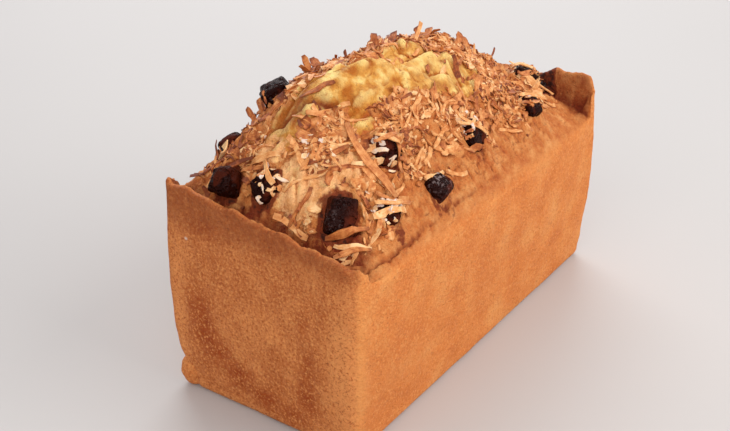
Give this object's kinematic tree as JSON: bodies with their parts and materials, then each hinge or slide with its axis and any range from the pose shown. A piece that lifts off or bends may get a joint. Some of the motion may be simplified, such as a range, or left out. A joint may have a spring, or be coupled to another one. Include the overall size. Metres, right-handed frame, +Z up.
{
  "type": "coconut cake",
  "caption": "Tall loaf cake, whole, with a burst crown, raised end rims, toasted coconut shreds and chocolate chunks; rests on its flat underside.",
  "frame": {"origin": "middle of the flat underside, on the surface that the cake rests on", "axes": "+X along the loaf, towards the end with the notched rim; +Y across it; +Z up"},
  "size_m": [0.1974, 0.0957, 0.1334],
  "materials": {
    "cake_crust": "matte baked crust with toasted coconut",
    "dark_chocolate": "half gloss dark chocolate"
  },
  "bodies": {
    "root": {"loaf": "cake_crust", "chocolate_chunk_01": "dark_chocolate", "chocolate_chunk_02": "dark_chocolate", "chocolate_chunk_03": "dark_chocolate", "chocolate_chunk_04": "dark_chocolate", "chocolate_chunk_05": "dark_chocolate", "chocolate_chunk_06": "dark_chocolate", "chocolate_chunk_07": "dark_chocolate", "chocolate_chunk_08": "dark_chocolate", "chocolate_chunk_09": "dark_chocolate", "chocolate_chunk_10": "dark_chocolate", "chocolate_chunk_11": "dark_chocolate", "chocolate_chunk_12": "dark_chocolate", "chocolate_chunk_13": "dark_chocolate", "chocolate_chunk_14": "dark_chocolate", "chocolate_chunk_15": "dark_chocolate"}
  },
  "joints": []
}
